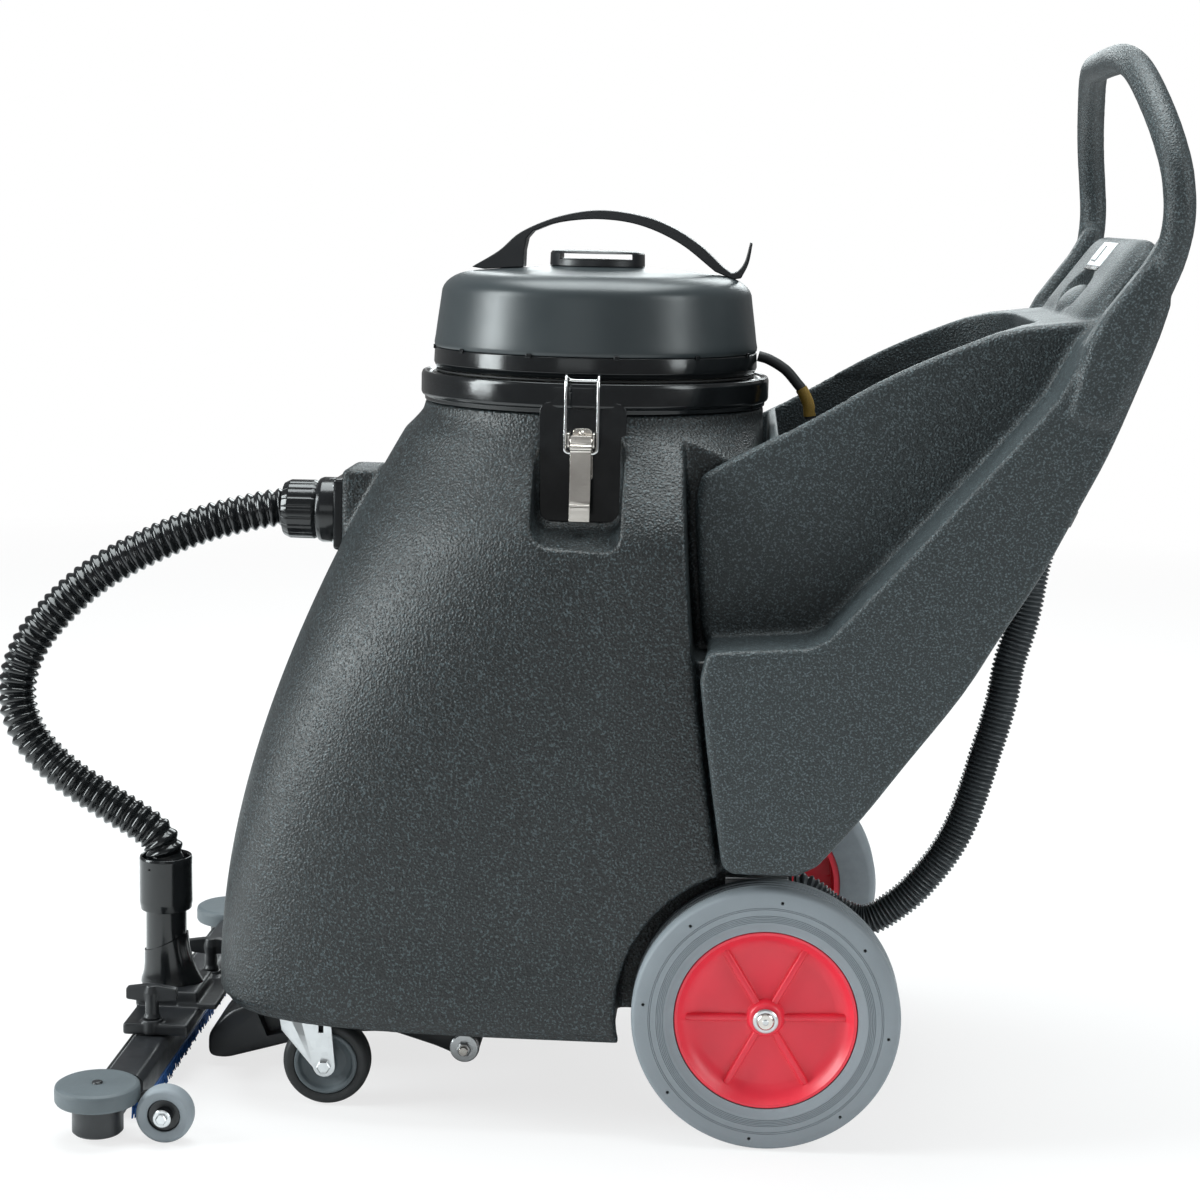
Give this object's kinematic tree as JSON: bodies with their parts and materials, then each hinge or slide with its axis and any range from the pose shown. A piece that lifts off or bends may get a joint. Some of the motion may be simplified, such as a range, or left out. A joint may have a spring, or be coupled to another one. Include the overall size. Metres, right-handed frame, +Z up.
{
  "type": "wheeled wet vacuum extractor",
  "caption": "Wheeled upright wet extraction vacuum with a moulded tank, latched motor head, rear tool bin with loop handle, drain hose and a lifting front squeegee fed by a corrugated hose.",
  "frame": {"origin": "middle of the footprint on the floor: centre of the overall box in X and Y, floor at Z = 0", "axes": "+Z up, +X from the squeegee towards the handle along the longest side, +Y across the machine, along the rear axle"},
  "size_m": [1.1474, 0.674, 1.041],
  "materials": {
    "tank_plastic": "pebbled rotomoulded charcoal polyethylene",
    "caddy_plastic": "pebbled rotomoulded charcoal polyethylene, slightly lighter",
    "gloss_black": "injection moulded, glossy",
    "satin_black": "injection moulded, satin",
    "lid_grey": "smooth satin slate grey",
    "tyre_grey": "moulded grey non-marking tyre",
    "bumper_grey": "moulded grey rubber",
    "hub_red": "moulded crimson nylon",
    "black_rubber": "moulded black rubber",
    "nickel_steel": "nickel plated steel",
    "chrome_wire": "bright wire",
    "zinc_steel": "bright zinc plated steel",
    "cast_aluminium": "cast",
    "pale_plastic": "smooth pale grey",
    "filter_cloth": "felt filter cloth",
    "blue_bristle": "nylon bristle"
  },
  "bodies": {
    "base": {"main_tank": "tank_plastic", "tank_collar": "gloss_black", "collar_gasket": "black_rubber", "rear_caddy": "caddy_plastic", "switch_bezel": "pale_plastic", "axle_bracket_left": "zinc_steel", "axle_bracket_right": "zinc_steel", "rear_axle": "nickel_steel", "caster_plate_left": "zinc_steel", "caster_plate_right": "zinc_steel", "inlet_flange": "gloss_black", "inlet_cuff": "gloss_black", "vacuum_hose": "gloss_black", "drain_port": "satin_black", "drain_hose": "black_rubber", "hose_clip": "satin_black", "lift_bracket_left": "zinc_steel", "lift_bracket_right": "zinc_steel", "lift_pivot_pin": "nickel_steel", "latch_base_left": "nickel_steel", "latch_base_right": "nickel_steel"},
    "motor_head": {"head_base": "gloss_black", "lid_shell": "lid_grey", "carry_strap": "satin_black", "top_cap": "satin_black", "motor_housing": "satin_black", "float_cage": "satin_black", "filter_basket": "filter_cloth", "pigtail_cable": "black_rubber"},
    "fan": {"motor_fan": "cast_aluminium"},
    "float": {"float_ball": "pale_plastic"},
    "rocker": {"rocker_switch": "gloss_black"},
    "squeegee": {"lift_arm": "satin_black", "base_bracket": "satin_black", "elbow_pipe": "gloss_black", "pipe_cuff": "gloss_black", "squeegee_bar": "satin_black", "brush_strip": "blue_bristle", "rubber_blade": "black_rubber"},
    "cap": {"drain_cap": "satin_black"},
    "wheel_left": {"rear_tyre_left": "tyre_grey", "rear_hub_left": "hub_red"},
    "caster_left": {"caster_fork_left": "zinc_steel"},
    "caster_roller_left": {"caster_wheel_left": "black_rubber"},
    "lever_left": {"latch_lever_left": "nickel_steel"},
    "bail_left": {"latch_bail_left": "chrome_wire"},
    "bumper_roller_left": {"bumper_left": "bumper_grey"},
    "squeegee_roller_left": {"squeegee_wheel_left": "tyre_grey"},
    "knob_left": {"clamp_knob_left": "satin_black"},
    "wheel_right": {"rear_tyre_right": "tyre_grey", "rear_hub_right": "hub_red"},
    "caster_right": {"caster_fork_right": "zinc_steel"},
    "caster_roller_right": {"caster_wheel_right": "black_rubber"},
    "lever_right": {"latch_lever_right": "nickel_steel"},
    "bail_right": {"latch_bail_right": "chrome_wire"},
    "bumper_roller_right": {"bumper_right": "bumper_grey"},
    "squeegee_roller_right": {"squeegee_wheel_right": "tyre_grey"},
    "knob_right": {"clamp_knob_right": "satin_black"}
  },
  "joints": [
    {"name": "rear_wheel_left_spin", "type": "hinge", "parent": "base", "child": "wheel_left", "pos_m": [0.222, -0.233, 0.127], "axis": [0, 1, 0], "continuous": true},
    {"name": "caster_left_swivel", "type": "hinge", "parent": "base", "child": "caster_left", "pos_m": [-0.233, -0.178, 0.095], "axis": [0, 0, 1], "continuous": true},
    {"name": "caster_left_roll", "type": "hinge", "parent": "caster_left", "child": "caster_roller_left", "pos_m": [-0.206, -0.178, 0.043], "axis": [0, 1, 0], "continuous": true},
    {"name": "latch_left_open", "type": "hinge", "parent": "base", "child": "lever_left", "pos_m": [0.033, -0.192, 0.662], "axis": [-1, 0, 0], "range_deg": [0, 110]},
    {"name": "bail_left_swing", "type": "hinge", "parent": "lever_left", "child": "bail_left", "pos_m": [0.033, -0.192, 0.65], "axis": [-1, 0, 0], "range_deg": [-137.5, 0]},
    {"name": "bumper_left_spin", "type": "hinge", "parent": "squeegee", "child": "bumper_roller_left", "pos_m": [-0.404, -0.297, 0.045], "axis": [0, 0, 1], "continuous": true},
    {"name": "squeegee_wheel_left_roll", "type": "hinge", "parent": "squeegee", "child": "squeegee_roller_left", "pos_m": [-0.339, -0.2975, 0.027], "axis": [0, 1, 0], "continuous": true},
    {"name": "rear_wheel_right_spin", "type": "hinge", "parent": "base", "child": "wheel_right", "pos_m": [0.222, 0.233, 0.127], "axis": [0, 1, 0], "continuous": true},
    {"name": "caster_right_swivel", "type": "hinge", "parent": "base", "child": "caster_right", "pos_m": [-0.233, 0.178, 0.095], "axis": [0, 0, 1], "continuous": true},
    {"name": "caster_right_roll", "type": "hinge", "parent": "caster_right", "child": "caster_roller_right", "pos_m": [-0.206, 0.178, 0.043], "axis": [0, 1, 0], "continuous": true},
    {"name": "latch_right_open", "type": "hinge", "parent": "base", "child": "lever_right", "pos_m": [0.033, 0.192, 0.662], "axis": [1, 0, 0], "range_deg": [0, 110]},
    {"name": "bail_right_swing", "type": "hinge", "parent": "lever_right", "child": "bail_right", "pos_m": [0.033, 0.192, 0.65], "axis": [1, 0, 0], "range_deg": [-137.5, 0]},
    {"name": "bumper_right_spin", "type": "hinge", "parent": "squeegee", "child": "bumper_roller_right", "pos_m": [-0.404, 0.297, 0.045], "axis": [0, 0, 1], "continuous": true},
    {"name": "squeegee_wheel_right_roll", "type": "hinge", "parent": "squeegee", "child": "squeegee_roller_right", "pos_m": [-0.339, 0.2975, 0.027], "axis": [0, 1, 0], "continuous": true},
    {"name": "clamp_knob_left_turn", "type": "hinge", "parent": "squeegee", "child": "knob_left", "pos_m": [-0.391, -0.138, 0.08], "axis": [0, 0, 1], "continuous": true},
    {"name": "clamp_knob_right_turn", "type": "hinge", "parent": "squeegee", "child": "knob_right", "pos_m": [-0.367, 0.024, 0.08], "axis": [0, 0, 1], "continuous": true},
    {"name": "head_lift", "type": "slide", "parent": "base", "child": "motor_head", "axis": [0, 0, 1], "range_m": [0, 0.3]},
    {"name": "fan_spin", "type": "hinge", "parent": "motor_head", "child": "fan", "pos_m": [0.033, 0, 0.757], "axis": [0, 0, 1], "continuous": true},
    {"name": "float_rise", "type": "slide", "parent": "motor_head", "child": "float", "axis": [0, 0, 1], "range_m": [0, 0.03]},
    {"name": "rocker_tilt", "type": "hinge", "parent": "base", "child": "rocker", "pos_m": [0.5329, 0.02, 0.84272], "axis": [0.5962, 0, 0.8028], "range_deg": [-6, 6]},
    {"name": "squeegee_lift", "type": "hinge", "parent": "base", "child": "squeegee", "pos_m": [-0.079, -0.05, 0.033], "axis": [0, 1, 0], "range_deg": [0, 6], "deforming": ["vacuum_hose"]},
    {"name": "drain_cap_pull", "type": "slide", "parent": "base", "child": "cap", "axis": [0.4104, 0, 0.9119], "range_m": [0, 0.04]}
  ],
  "couplings": [
    {"joint": "bail_left_swing", "follows": "latch_left_open", "ratio": -1.25},
    {"joint": "bail_right_swing", "follows": "latch_right_open", "ratio": -1.25}
  ]
}
